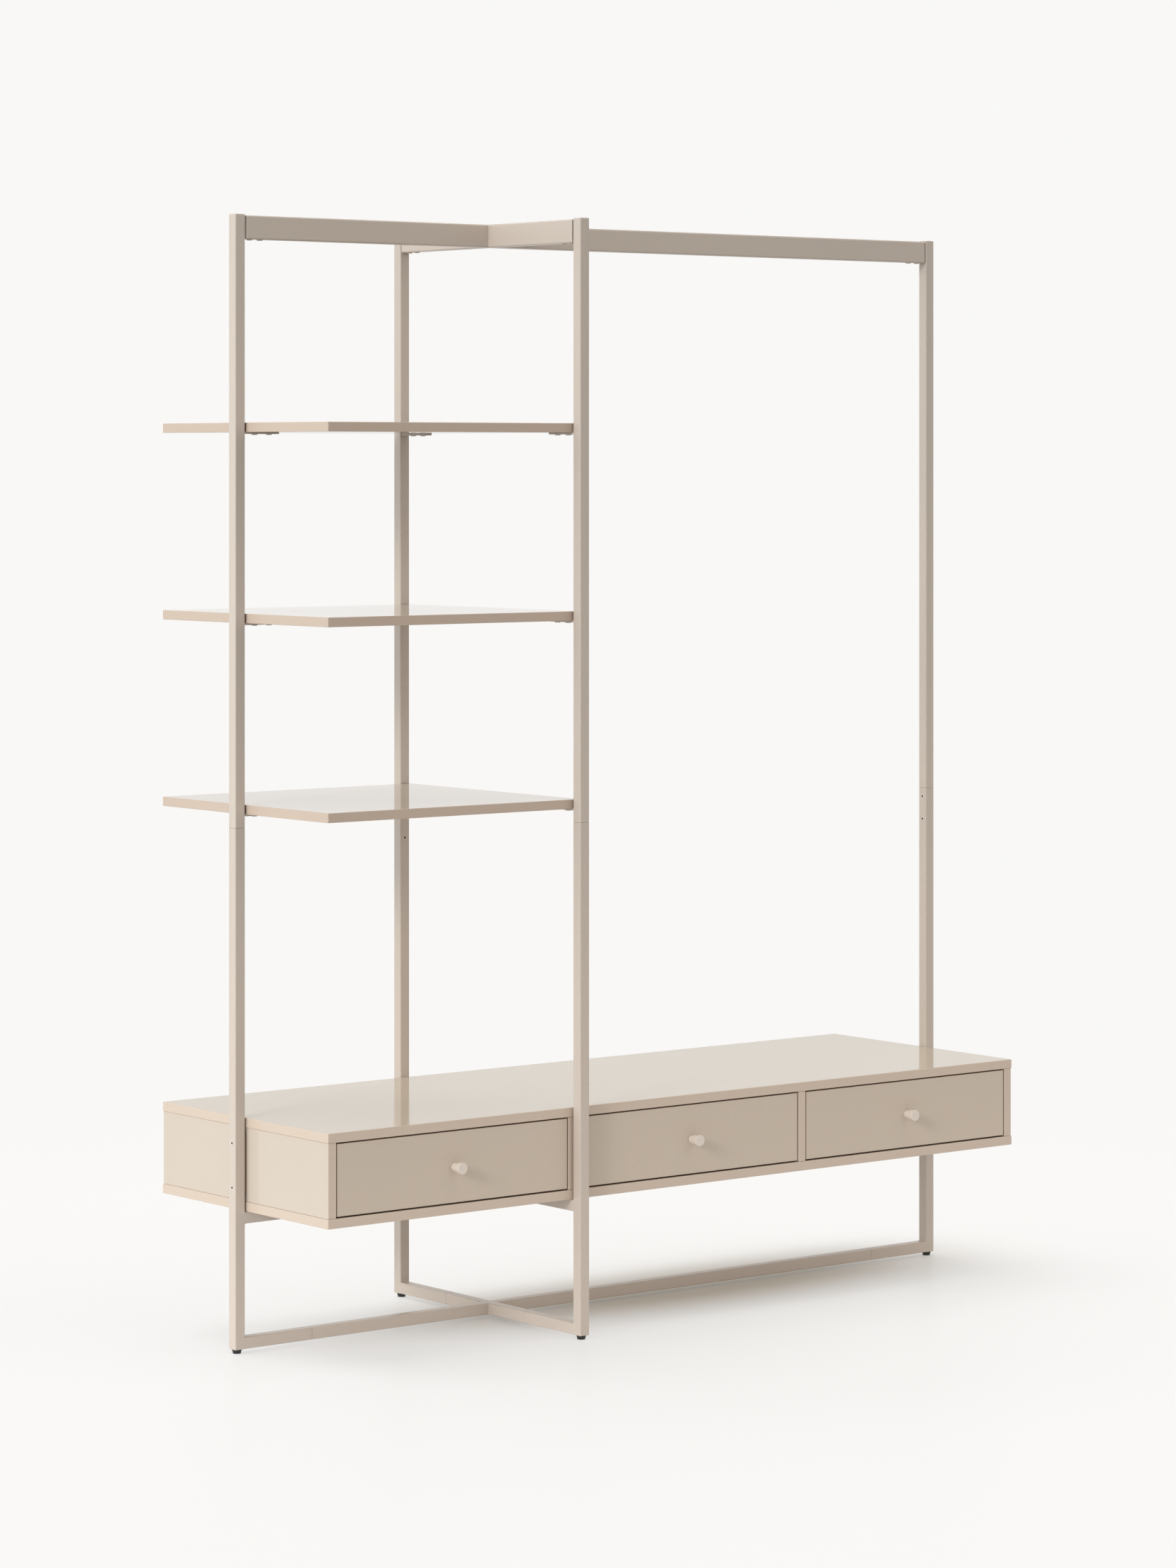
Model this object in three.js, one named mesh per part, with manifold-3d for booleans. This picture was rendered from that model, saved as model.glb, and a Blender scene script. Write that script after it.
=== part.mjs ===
// Open-front wardrobe: a steel tube frame in a plus plan, three shelves and a low cabinet with drawers.
// Millimetres, +Z up, the front faces -Y, and the origin is on the floor at the centre of the footprint.
// Every size that can be set by itself is named once below, and all other sizes follow from these.

import * as THREE from 'three';
import { mergeVertices } from 'three/addons/utils/BufferGeometryUtils.js';
import Module from 'manifold-3d';

const wasm = await Module();
wasm.setup();

// Overall sizes
const overallHeight = 1900;
const cabinetWidth = 1530;
const cabinetDepth = 490;
const cabinetHeight = 156;
const cabinetBottom = 236;
const crossFromLeft = 515;

// Square steel tube of the posts, arms and floor bars
const tube = 20;
const tubeWall = 1.5;
const tubeCorner = 2;
const tubeEndRound = 0.8;
const endPlate = 3;
const standOff = 3;

// Top beams of rectangular tube, which are the clothes rail
const beamHeight = 40;
const beamCorner = 3;
const beamDrop = 2;

// Joint between the lower and the upper half of each post
const seamHeight = 876;
const spigotLength = 75;
const spigotGrip = 40;
const spigotGap = 0.3;
const spigotCorner = 1.5;
const seamScrewHigh = 16;
const seamScrewLow = 58;

// Welded leg frames: the floor stub, the arm under the cabinet and the weld between them and the post
const stubLength = 136;
const armLength = 150;
const weldRadius = 3;
const weldSink = 0.5;

// Countersunk screw holes
const screwRadius = 2.25;
const screwHeadRadius = 5.2;
const sinkDepth = 1.2;
const cabinetScrewSpread = 74;

// Levelling feet
const footHeight = 7;
const footTopRadius = 8.5;
const footBottomRadius = 7;
const footChamfer = 0.8;
const stemRadius = 3;
const stemLength = 20;
const stemGap = 0.3;

// Boards of the cabinet and the shelves
const board = 16;
const boardCorner = 1;
const boardEdge = 0.6;
const panelInset = 1;
const backBoard = 8;
const postDivider = 26;

// Shelves: the lowest lies just above the seam of the posts, and the rest share the height up to the top bay
const shelfCount = 3;
const shelfAboveSeam = 22;
const topBay = 306;

// Steel brackets
const bracketPlate = 3;
const bracketWidth = 15;
const bracketBend = 2;
const shelfBracketLeg = 70;
const beamBracketLeg = 55;
const bracketRound = 0.4;
const spacerHeight = 100;

// Drawers
const frontGap = 2.5;
const frontInset = 2;
const frontBoard = 16;
const boxBoard = 12;
const boxHeight = 88;
const boxRaise = 10;
const boxRearGap = 22;
const boxBottom = 4;
const boxBottomRaise = 8;

// Drawer runners: a channel on the cabinet with a channel nested in it on the drawer
const runnerWidth = 12.5;
const runnerHeight = 35;
const runnerSheet = 1.5;
const runnerGap = 0.4;
const runnerFrontGap = 3;
const runnerRearGap = 38;
const runnerLip = 1.5;

// Knobs
const knobLength = 24;
const knobBaseRadius = 6.8;
const knobFaceRadius = 10.2;
const knobRound = 1;

// Steps of the round forms, and the overrun of every cut past the face that it opens
const cornerSteps = 2;
const edgeSteps = 1;
const turnSteps = 24;
const holeSteps = 12;
const overrun = 1;

// Places that follow from the sizes
const left = -cabinetWidth / 2;
const right = cabinetWidth / 2;
const front = -cabinetDepth / 2;
const back = cabinetDepth / 2;
const crossX = left + crossFromLeft;
const cabinetTop = cabinetBottom + cabinetHeight;
const cabinetMiddle = cabinetBottom + cabinetHeight / 2;
const innerBottom = cabinetBottom + board;
const innerHeight = cabinetHeight - 2 * board;
const beamTop = overallHeight - beamDrop;
const beamBottom = beamTop - beamHeight;
const spigot = tube - 2 * tubeWall - 2 * spigotGap;
const shelfWidth = crossFromLeft + tube / 2;
const lowestShelfTop = seamHeight + shelfAboveSeam + board;
const highestShelfTop = beamBottom - topBay;
const shelfPitch = (highestShelfTop - lowestShelfTop) / Math.max(shelfCount - 1, 1);

// Each post stands at the end of one arm of the plus: its place, and the turn that points +X inwards
const posts = {
  left: { x: left - standOff, y: 0, turn: 0 },
  right: { x: right + standOff, y: 0, turn: Math.PI },
  front: { x: crossX, y: front - standOff, turn: Math.PI / 2 },
  back: { x: crossX, y: back + standOff, turn: -Math.PI / 2 },
};

// Materials
const coat = { color: 0xc9bbaa, roughness: 0.55, metalness: 0.1 };
const melamine = { color: 0xcabdab, roughness: 0.45, metalness: 0 };
const coatedSteel = new THREE.MeshStandardMaterial(coat);
const melamineBoard = new THREE.MeshStandardMaterial(melamine);
const drawerBoard = new THREE.MeshStandardMaterial({ ...melamine, color: 0xc4b6a4 });
const boxWood = new THREE.MeshStandardMaterial({ color: 0xd8cdbd, roughness: 0.6, metalness: 0 });
const knobCoat = new THREE.MeshStandardMaterial({ color: 0xe0d2c3, roughness: 0.5, metalness: 0 });
const runnerSteel = new THREE.MeshStandardMaterial({ color: 0xb9bbbd, roughness: 0.35, metalness: 0.9 });
const blackPlastic = new THREE.MeshStandardMaterial({ color: 0x1c1b1a, roughness: 0.6, metalness: 0 });
const brownPlastic = new THREE.MeshStandardMaterial({ color: 0x6a5848, roughness: 0.6, metalness: 0 });

// Turns a closed three.js geometry into a solid for cutting and joining.
function solid(geometry) {
  const bare = geometry.index ? geometry.toNonIndexed() : geometry.clone();
  bare.deleteAttribute('normal');
  bare.deleteAttribute('uv');
  const merged = mergeVertices(bare);
  const vertProperties = new Float32Array(merged.attributes.position.array);
  const triVerts = new Uint32Array(merged.index.array);
  return new wasm.Manifold(new wasm.Mesh({ numProp: 3, vertProperties, triVerts }));
}

// Turns a solid back into a geometry.
function geometryOf(body) {
  const mesh = body.getMesh();
  const geometry = new THREE.BufferGeometry();
  geometry.setAttribute('position', new THREE.BufferAttribute(new Float32Array(mesh.vertProperties), 3));
  geometry.setIndex(new THREE.BufferAttribute(new Uint32Array(mesh.triVerts), 1));
  geometry.computeVertexNormals();
  return geometry;
}

// Joins the first list of geometries and cuts the second list out of the result.
function build(added, removed = []) {
  const joined = added.map(solid).reduce((sum, next) => sum.add(next));
  return geometryOf(removed.map(solid).reduce((sum, next) => sum.subtract(next), joined));
}

// Rectangle with round corners, centred on the origin.
function roundRectangle(width, height, radius) {
  const shape = new THREE.Shape();
  const x = width / 2 - radius;
  const y = height / 2 - radius;
  shape.absarc(x, -y, radius, -Math.PI / 2, 0);
  shape.absarc(x, y, radius, 0, Math.PI / 2);
  shape.absarc(-x, y, radius, Math.PI / 2, Math.PI);
  shape.absarc(-x, -y, radius, Math.PI, 1.5 * Math.PI);
  return shape;
}

// Extrusion from z = 0 to the length, with both ends rounded over by the edge.
function extrude(shape, length, edge = 0) {
  const geometry = new THREE.ExtrudeGeometry(shape, {
    depth: length - 2 * edge,
    curveSegments: cornerSteps,
    bevelEnabled: edge > 0,
    bevelThickness: edge,
    bevelSize: edge,
    bevelOffset: -edge,
    bevelSegments: edgeSteps,
  });
  return geometry.translate(0, 0, edge);
}

// Upright bar with a section of round corners, standing on z = 0.
function uprightBar(width, depth, length, corner, edge) {
  return extrude(roundRectangle(width, depth, corner), length, edge);
}

// Bar along +X from x = 0, with its section centred on the X axis: width along Y and height along Z.
function barAlongX(length, width, height, corner, edge) {
  return extrude(roundRectangle(height, width, corner), length, edge).rotateY(Math.PI / 2);
}

// Bar along +Y from y = 0, with its section centred on the Y axis: width along X and height along Z.
function barAlongY(length, width, height, corner, edge) {
  return barAlongX(length, width, height, corner, edge).rotateZ(Math.PI / 2);
}

// Plain box between two corners, for cuts and bores.
function boxBetween(low, high) {
  const size = high.map((value, i) => value - low[i]);
  const middle = high.map((value, i) => (value + low[i]) / 2);
  return new THREE.BoxGeometry(...size).translate(...middle);
}

// Flat board centred on the origin, its thickness along the named axis and its edges rounded.
function flatBoard(sizeX, sizeY, sizeZ, thin, corner = boardCorner, edge = boardEdge) {
  if (thin === 'x') {
    return barAlongX(sizeX, sizeY, sizeZ, corner, edge).translate(-sizeX / 2, 0, 0);
  }
  if (thin === 'y') {
    return barAlongY(sizeY, sizeX, sizeZ, corner, edge).translate(0, -sizeY / 2, 0);
  }
  return uprightBar(sizeX, sizeY, sizeZ, corner, edge).translate(0, 0, -sizeZ / 2);
}

// Solid of revolution about Z from a profile of [radius, height] pairs that starts and ends on the axis.
function turned(profile, steps = turnSteps) {
  const points = profile.map(([radius, height]) => new THREE.Vector2(radius, height));
  return new THREE.LatheGeometry(points, steps).rotateX(Math.PI / 2);
}

// Cutter for a countersunk hole whose mouth lies at the origin and opens towards +X.
function countersink(depth) {
  const profile = [
    [0, -depth],
    [screwRadius, -depth],
    [screwRadius, -sinkDepth],
    [screwHeadRadius, 0],
    [screwHeadRadius, overrun],
    [0, overrun],
  ];
  return turned(profile, holeSteps).rotateY(Math.PI / 2);
}

const wardrobe = new THREE.Group();

// Adds one named piece to a group.
function addPiece(group, name, geometry, material, x = 0, y = 0, z = 0, turn = 0) {
  const mesh = new THREE.Mesh(geometry, material);
  mesh.name = name;
  mesh.position.set(x, y, z);
  mesh.rotation.z = turn;
  group.add(mesh);
  return mesh;
}

// Lower half of a post with its floor stub and its arm under the cabinet, welded into one frame.
// In its own frame the post's inner face is x = 0, and the stub and the arm run along +X.
function legFrame(holdsCabinet) {
  const bore = tube - 2 * tubeWall;
  const stubMiddle = footHeight + tube / 2;
  const armMiddle = cabinetBottom - tube / 2;
  const halfBore = bore / 2;
  const post = uprightBar(tube, tube, seamHeight - footHeight, tubeCorner, tubeEndRound)
    .translate(-tube / 2, 0, footHeight);
  const stub = barAlongX(stubLength + tube / 2, tube, tube, tubeCorner, tubeEndRound)
    .translate(-tube / 2, 0, stubMiddle);
  const arm = barAlongX(armLength + tube / 2, tube, tube, tubeCorner, tubeEndRound)
    .translate(-tube / 2, 0, armMiddle);
  const postBore = boxBetween(
    [-tube / 2 - halfBore, -halfBore, footHeight + endPlate],
    [-tube / 2 + halfBore, halfBore, seamHeight + overrun],
  );
  const stubBore = boxBetween(
    [0, -halfBore, stubMiddle - halfBore],
    [stubLength + overrun, halfBore, stubMiddle + halfBore],
  );
  const armBore = boxBetween(
    [-tube / 2, -halfBore, armMiddle - halfBore],
    [armLength - endPlate, halfBore, armMiddle + halfBore],
  );
  const stemHole = new THREE.CylinderGeometry(
    stemRadius + stemGap, stemRadius + stemGap, endPlate + 2 * overrun, holeSteps,
  ).rotateX(Math.PI / 2).translate(-tube / 2, 0, footHeight + endPlate / 2);
  const cuts = [postBore, stubBore, armBore, stemHole];
  for (const drop of [seamScrewHigh, seamScrewLow]) {
    cuts.push(countersink(tubeWall + overrun).translate(0, 0, seamHeight - drop));
  }
  if (holdsCabinet) {
    for (const side of [-1, 1]) {
      const height = cabinetMiddle + side * cabinetScrewSpread / 2;
      cuts.push(countersink(tube + overrun).rotateZ(Math.PI).translate(-tube, 0, height));
    }
  }
  const welds = [
    weld().translate(0, 0, footHeight + tube),
    weld().rotateX(Math.PI).translate(0, 0, cabinetBottom - tube),
  ];
  return build([post, stub, arm, ...welds], cuts);
}

// Hollow weld bead in the corner between a post's face at x = 0 and a bar's face at z = 0.
function weld() {
  const shape = new THREE.Shape();
  shape.moveTo(-weldSink, -weldSink);
  shape.lineTo(weldRadius, -weldSink);
  shape.lineTo(weldRadius, 0);
  shape.absarc(weldRadius, weldRadius, weldRadius, 1.5 * Math.PI, Math.PI, true);
  shape.lineTo(-weldSink, weldRadius);
  const width = tube - 2 * tubeCorner;
  return extrude(shape, width).rotateX(Math.PI / 2).translate(0, width / 2, 0);
}

// Upper half of a post: closed on top, with a hollow spigot welded into its lower end.
function upperPost() {
  const halfBore = tube / 2 - tubeWall;
  const halfSpigotBore = spigot / 2 - tubeWall;
  const gripTop = seamHeight + spigotGrip;
  const post = uprightBar(tube, tube, overallHeight - seamHeight, tubeCorner, tubeEndRound)
    .translate(0, 0, seamHeight);
  const peg = uprightBar(spigot, spigot, spigotLength + spigotGrip, spigotCorner, tubeEndRound)
    .translate(0, 0, seamHeight - spigotLength);
  const postBore = boxBetween(
    [-halfBore, -halfBore, gripTop],
    [halfBore, halfBore, overallHeight - endPlate],
  );
  const pegBore = boxBetween(
    [-halfSpigotBore, -halfSpigotBore, seamHeight - spigotLength - overrun],
    [halfSpigotBore, halfSpigotBore, gripTop + overrun],
  );
  return build([post, peg], [postBore, pegBore]).translate(-tube / 2, 0, 0);
}

// One bar of the floor cross along X between two seams, with a hollow spigot past each seam.
// Gives the solids to join and the solids to cut, turned about Z.
function floorBar(low, high, turn) {
  const bore = tube / 2 - tubeWall;
  const pegBore = spigot / 2 - tubeWall;
  const pegLength = spigotLength + spigotGrip;
  const peg = () => barAlongX(pegLength, spigot, spigot, spigotCorner, tubeEndRound);
  const added = [
    barAlongX(high - low, tube, tube, tubeCorner, tubeEndRound).translate(low, 0, 0),
    peg().translate(low - spigotLength, 0, 0),
    peg().translate(high - spigotGrip, 0, 0),
  ];
  const pegEnd = spigotLength + overrun;
  const removed = [
    boxBetween([low + spigotGrip, -bore, -bore], [high - spigotGrip, bore, bore]),
    boxBetween([low - pegEnd, -pegBore, -pegBore], [high + pegEnd, pegBore, pegBore]),
  ];
  added.forEach((geometry) => geometry.rotateZ(turn));
  removed.forEach((geometry) => geometry.rotateZ(turn));
  return { added, removed };
}

// Floor cross: two tubes welded into a plus, with its origin at the crossing, in the middle of the tubes.
function floorCross() {
  const seam = stubLength - standOff;
  const long = floorBar(left + seam - crossX, right - seam - crossX, 0);
  const short = floorBar(front + seam, back - seam, Math.PI / 2);
  return build([...long.added, ...short.added], [...long.removed, ...short.removed]);
}

// Top cross: the long beam and the short beam welded into a plus, both open at their ends.
function topCross() {
  const boreWidth = tube - 2 * tubeWall;
  const boreHeight = beamHeight - 2 * tubeWall;
  const halfWidth = boreWidth / 2;
  const halfHeight = boreHeight / 2;
  const long = barAlongX(cabinetWidth, tube, beamHeight, beamCorner, tubeEndRound).translate(left, 0, 0);
  const short = barAlongY(cabinetDepth, tube, beamHeight, beamCorner, tubeEndRound)
    .translate(crossX, front, 0);
  const longBore = boxBetween(
    [left - overrun, -halfWidth, -halfHeight],
    [right + overrun, halfWidth, halfHeight],
  );
  const shortBore = boxBetween(
    [crossX - halfWidth, front - overrun, -halfHeight],
    [crossX + halfWidth, back + overrun, halfHeight],
  );
  return build([long, short], [longBore, shortBore]);
}

// Outline in X and Z, extruded across Y and centred on it.
function acrossY(shape, width, edge) {
  return extrude(shape, width, edge).rotateX(Math.PI / 2).translate(0, width / 2, 0);
}

// Shelf bracket: a plate against the post and a leg under the shelf, bent from one strip.
// Its origin is at the post's face, level with the underside of the shelf.
function shelfBracket() {
  const shape = new THREE.Shape();
  shape.moveTo(bracketBend, -bracketPlate);
  shape.lineTo(shelfBracketLeg, -bracketPlate);
  shape.lineTo(shelfBracketLeg, 0);
  shape.lineTo(standOff, 0);
  shape.lineTo(standOff, board);
  shape.lineTo(0, board);
  shape.lineTo(0, bracketBend - bracketPlate);
  shape.absarc(bracketBend, bracketBend - bracketPlate, bracketBend, Math.PI, 1.5 * Math.PI);
  return acrossY(shape, bracketWidth, bracketRound);
}

// Beam bracket: a plate against the post and a tongue that lies inside the beam on its lower wall.
// Its origin is at the post's face, level with the underside of the beam.
function beamBracket() {
  const shape = new THREE.Shape();
  shape.moveTo(0, 0);
  shape.lineTo(standOff, 0);
  shape.lineTo(standOff, tubeWall);
  shape.lineTo(beamBracketLeg, tubeWall);
  shape.lineTo(beamBracketLeg, tubeWall + bracketPlate);
  shape.lineTo(standOff, tubeWall + bracketPlate);
  shape.lineTo(standOff, beamHeight);
  shape.lineTo(0, beamHeight);
  return acrossY(shape, bracketWidth, bracketRound);
}

// Tapered glide with a threaded stem: its origin is on the floor.
function levellingFoot() {
  return turned([
    [0, 0],
    [footBottomRadius - footChamfer, 0],
    [footBottomRadius, footChamfer],
    [footTopRadius, footHeight - footChamfer],
    [footTopRadius - footChamfer, footHeight],
    [stemRadius, footHeight],
    [stemRadius, footHeight + stemLength],
    [0, footHeight + stemLength],
  ]);
}

// The frame
const frame = new THREE.Group();
wardrobe.add(frame);
for (const [side, { x, y, turn }] of Object.entries(posts)) {
  const holdsCabinet = y === 0;
  addPiece(frame, `leg_frame_${side}`, legFrame(holdsCabinet), coatedSteel, x, y, 0, turn);
  addPiece(frame, `upper_post_${side}`, upperPost(), coatedSteel, x, y, 0, turn);
  addPiece(frame, `beam_bracket_${side}`, beamBracket(), coatedSteel, x, y, beamBottom, turn);
  const footX = x - Math.cos(turn) * tube / 2;
  const footY = y - Math.sin(turn) * tube / 2;
  addPiece(frame, `levelling_foot_${side}`, levellingFoot(), blackPlastic, footX, footY);
}
addPiece(frame, 'floor_cross', floorCross(), coatedSteel, crossX, 0, footHeight + tube / 2);
addPiece(frame, 'top_cross', topCross(), coatedSteel, 0, 0, beamTop - beamHeight / 2);

// The shelves, each on a bracket at the left, front and back post
for (let level = 1; level <= shelfCount; level += 1) {
  const top = lowestShelfTop + (level - 1) * shelfPitch;
  const shelf = flatBoard(shelfWidth, cabinetDepth, board, 'z');
  addPiece(wardrobe, `shelf_${level}`, shelf, melamineBoard, left + shelfWidth / 2, 0, top - board / 2);
  for (const side of ['left', 'front', 'back']) {
    const { x, y, turn } = posts[side];
    const name = `shelf_bracket_${level}_${side}`;
    addPiece(wardrobe, name, shelfBracket(), coatedSteel, x, y, top - board, turn);
  }
}

// The cabinet's boards. The left divider ends flush with the front post, so the middle drawer slides past it.
const sideDepth = cabinetDepth - 2 * panelInset;
const dividerDepth = sideDepth - backBoard;
const dividerY = -backBoard / 2;
const sideX = right - panelInset - board / 2;
const innerRight = sideX - board / 2;
const postEdge = crossX + tube / 2;
const sideBay = postEdge - postDivider + innerRight;
const dividers = {
  left: [postEdge - postDivider, postEdge],
  right: [innerRight - sideBay - board, innerRight - sideBay],
};
const cabinet = new THREE.Group();
wardrobe.add(cabinet);
for (const [name, z] of [['bottom', cabinetBottom + board / 2], ['top', cabinetTop - board / 2]]) {
  const panel = flatBoard(cabinetWidth, cabinetDepth, board, 'z');
  addPiece(cabinet, `cabinet_${name}`, panel, melamineBoard, 0, 0, z);
}
for (const [side, x] of [['left', -sideX], ['right', sideX]]) {
  const panel = flatBoard(board, sideDepth, innerHeight, 'x');
  addPiece(cabinet, `cabinet_side_${side}`, panel, melamineBoard, x, 0, cabinetMiddle);
}
for (const [side, [low, high]] of Object.entries(dividers)) {
  const divider = flatBoard(high - low, dividerDepth, innerHeight, 'x');
  const x = (low + high) / 2;
  addPiece(cabinet, `cabinet_divider_${side}`, divider, melamineBoard, x, dividerY, cabinetMiddle);
}
const backPanel = flatBoard(2 * innerRight, backBoard, innerHeight, 'y');
const backY = back - panelInset - backBoard / 2;
addPiece(cabinet, 'cabinet_back', backPanel, melamineBoard, 0, backY, cabinetMiddle);

// Spacers between the cabinet's sides and the left and right posts
for (const side of ['left', 'right']) {
  const { x, y, turn } = posts[side];
  const thickness = standOff + panelInset;
  const spacer = barAlongX(thickness, bracketWidth, spacerHeight, boardCorner, bracketRound);
  addPiece(cabinet, `cabinet_spacer_${side}`, spacer, brownPlastic, x, y, cabinetMiddle, turn);
}

// Tray of a drawer: four boards round a thin bottom, open on top. Its front face is y = 0 and its foot z = 0.
function drawerBox(width, length) {
  const outer = flatBoard(width, length, boxHeight, 'z').translate(0, length / 2, boxHeight / 2);
  const innerX = width / 2 - boxBoard;
  const low = [-innerX, boxBoard];
  const high = [innerX, length - boxBoard];
  const upper = boxBetween([...low, boxBottomRaise + boxBottom], [...high, boxHeight + overrun]);
  const under = boxBetween([...low, -overrun], [...high, boxBottomRaise]);
  return build([outer], [upper, under]);
}

// Channel of a runner: a web of the given height on x = 0 and two flanges along +X, centred on y and z.
function channel(width, height, length) {
  const half = height / 2;
  const shape = new THREE.Shape();
  shape.moveTo(0, -half);
  shape.lineTo(width, -half);
  shape.lineTo(width, runnerSheet - half);
  shape.lineTo(runnerSheet, runnerSheet - half);
  shape.lineTo(runnerSheet, half - runnerSheet);
  shape.lineTo(width, half - runnerSheet);
  shape.lineTo(width, half);
  shape.lineTo(0, half);
  return acrossY(shape, length, 0);
}

// Knob: a cone that widens towards its flat face. Its base is y = 0 and it points along -Y.
function knob() {
  const slope = (knobFaceRadius - knobBaseRadius) / knobLength;
  const profile = [
    [0, 0],
    [knobBaseRadius - knobRound, 0],
    [knobBaseRadius + slope * knobRound, knobRound],
    [knobFaceRadius - slope * knobRound, knobLength - knobRound],
    [knobFaceRadius - knobRound / 4, knobLength - knobRound / 4],
    [knobFaceRadius - knobRound, knobLength],
    [0, knobLength],
  ];
  return turned(profile).rotateX(Math.PI / 2);
}

// The drawers, each between two of the cabinet's uprights
const bays = {
  left: [-innerRight, dividers.left[0]],
  middle: [dividers.left[1], dividers.right[0]],
  right: [dividers.right[1], innerRight],
};
const frontHeight = innerHeight - 2 * frontGap;
const frontFace = front + frontInset;
const boxFront = frontFace + frontBoard;
const boxLength = back - panelInset - backBoard - boxRearGap - boxFront;
const boxFoot = innerBottom + boxRaise;
const runnerLength = boxLength - runnerFrontGap - runnerRearGap;
const runnerMiddle = boxFoot + boxHeight / 2;
const runnerY = boxFront + runnerFrontGap + runnerLength / 2;
const drawerRailHeight = runnerHeight - 2 * runnerSheet - 2 * runnerGap;
for (const [name, [low, high]] of Object.entries(bays)) {
  const bay = high - low;
  const middle = (low + high) / 2;
  const group = new THREE.Group();
  wardrobe.add(group);
  const face = flatBoard(bay - 2 * frontGap, frontBoard, frontHeight, 'y');
  const faceY = frontFace + frontBoard / 2;
  addPiece(group, `drawer_front_${name}`, face, drawerBoard, middle, faceY, cabinetMiddle);
  const box = drawerBox(bay - 2 * runnerWidth, boxLength);
  addPiece(group, `drawer_box_${name}`, box, boxWood, middle, boxFront, boxFoot);
  addPiece(group, `drawer_knob_${name}`, knob(), knobCoat, middle, frontFace, cabinetMiddle);
  const ends = { left: [low, 0], right: [high, Math.PI] };
  for (const [end, [x, turn]] of Object.entries(ends)) {
    const inwards = Math.cos(turn);
    const fixed = channel(runnerWidth - runnerLip, runnerHeight, runnerLength);
    addPiece(group, `runner_${name}_${end}`, fixed, runnerSteel, x, runnerY, runnerMiddle, turn);
    const sliding = channel(runnerWidth - runnerSheet - runnerGap, drawerRailHeight, runnerLength);
    const slidingX = x + inwards * runnerWidth;
    const rail = `drawer_rail_${name}_${end}`;
    addPiece(group, rail, sliding, runnerSteel, slidingX, runnerY, runnerMiddle, turn + Math.PI);
  }
}

export default wardrobe;
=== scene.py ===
"""Open-front wardrobe: the looks of a steel frame in a plus plan, its shelves and its drawers.

All places are in metres, with +Z up, the open front towards -Y and the origin on the floor.
"""

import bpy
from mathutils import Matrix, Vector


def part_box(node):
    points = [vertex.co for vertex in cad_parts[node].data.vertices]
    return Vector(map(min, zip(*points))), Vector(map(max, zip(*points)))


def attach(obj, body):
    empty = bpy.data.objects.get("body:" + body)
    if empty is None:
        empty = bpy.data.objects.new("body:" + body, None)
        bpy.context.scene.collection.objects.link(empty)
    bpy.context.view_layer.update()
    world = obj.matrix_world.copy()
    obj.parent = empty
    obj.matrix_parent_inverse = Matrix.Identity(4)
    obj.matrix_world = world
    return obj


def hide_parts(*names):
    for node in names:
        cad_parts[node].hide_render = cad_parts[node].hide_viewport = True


bl_info = {
    "name": "Open-front wardrobe",
    "version": (1, 0, 0),
    "blender": (4, 5, 0),
    "location": "View3D > Sidebar > Wardrobe",
    "description": "Dresses a packed open-front wardrobe and its studio",
    "category": "Object",
}

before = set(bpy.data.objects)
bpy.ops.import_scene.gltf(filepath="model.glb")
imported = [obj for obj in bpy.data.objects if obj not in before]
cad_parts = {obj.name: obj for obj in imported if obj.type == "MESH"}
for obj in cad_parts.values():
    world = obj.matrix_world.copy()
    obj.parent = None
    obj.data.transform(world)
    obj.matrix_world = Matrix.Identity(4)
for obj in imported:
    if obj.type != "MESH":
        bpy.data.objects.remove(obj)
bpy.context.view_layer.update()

import math

import bmesh
import bpy
import numpy as np
from bpy.props import FloatProperty, FloatVectorProperty, PointerProperty
from bpy.types import Operator, Panel, PropertyGroup
from mathutils import Vector

MM = 0.001
SIDES = ("left", "right", "front", "back")
BAYS = ("left", "middle", "right")
ENDS = ("left", "right")
ROOT_BODY = "frame_and_cabinet"

# Below these angles between faces, dressed, packed and screw shapes are shaded smooth.
SMOOTH, PACKED_SMOOTH, SCREW_SMOOTH = (math.radians(degrees) for degrees in (40, 50, 30))
JOIN, FLAT_BELOW = 0.001 * MM, math.radians(0.2)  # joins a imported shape's corners and flat faces
SMALL_STEPS = (3, 2)  # steps round a corner and over an end of a small bar
LEAST_CORNER = 0.05  # share of its radius that a corner keeps where a ring is drawn in
BOARD_CORNER = 1.2  # radius of a board's corners as a share of its arris
BROAD = 0.999  # least part along a board's thickness of the normal of a broad face
SPIGOT_CORNER, SPIGOT_REACH = 1.5 * MM, 2.0 * MM  # the reach is that above the seam
PLATE_CORNER, TONGUE_END = 1.5 * MM, 0.1 * MM  # roundings of a beam bracket
# The radius along the edges of a tray's boards and bottom, and the rounding of their two ends.
TRAY_EDGES, BOTTOM_EDGES = (0.6 * MM, 0.4 * MM, 0.4 * MM), (0.3 * MM, 0.1 * MM, 0.1 * MM)

# Turned shapes in millimetres: (radius, height) points, and arcs as (radius, height, bend radius).
# AXIS is the radius of the ring that shuts a shape at its axis.
AXIS = 0.0001
FOOT_SOLE, FOOT_RIM, FOOT_STEM = (6.3, 0.7, 0.7), (7.7, 6.2, 0.8), 2.4
FOOT_GROOVE = ((6.9, 1.6), (6.6, 1.75), (6.6, 2.05), (7.1, 2.2))
THREAD_START, THREAD_PITCH, THREAD_RISE, THREAD_RADII = 7.0, 1.25, 0.62, (2.45, 3.0)
KNOB_BASE = ((AXIS, 0.0), (6.3, 0.0), (6.85, -0.5))
KNOB_RIM = (9.0, 0.9, 0.9)
KNOB_DISH = ((8.4, 0.02), (8.1, 0.12), (AXIS, 0.12))

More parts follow.
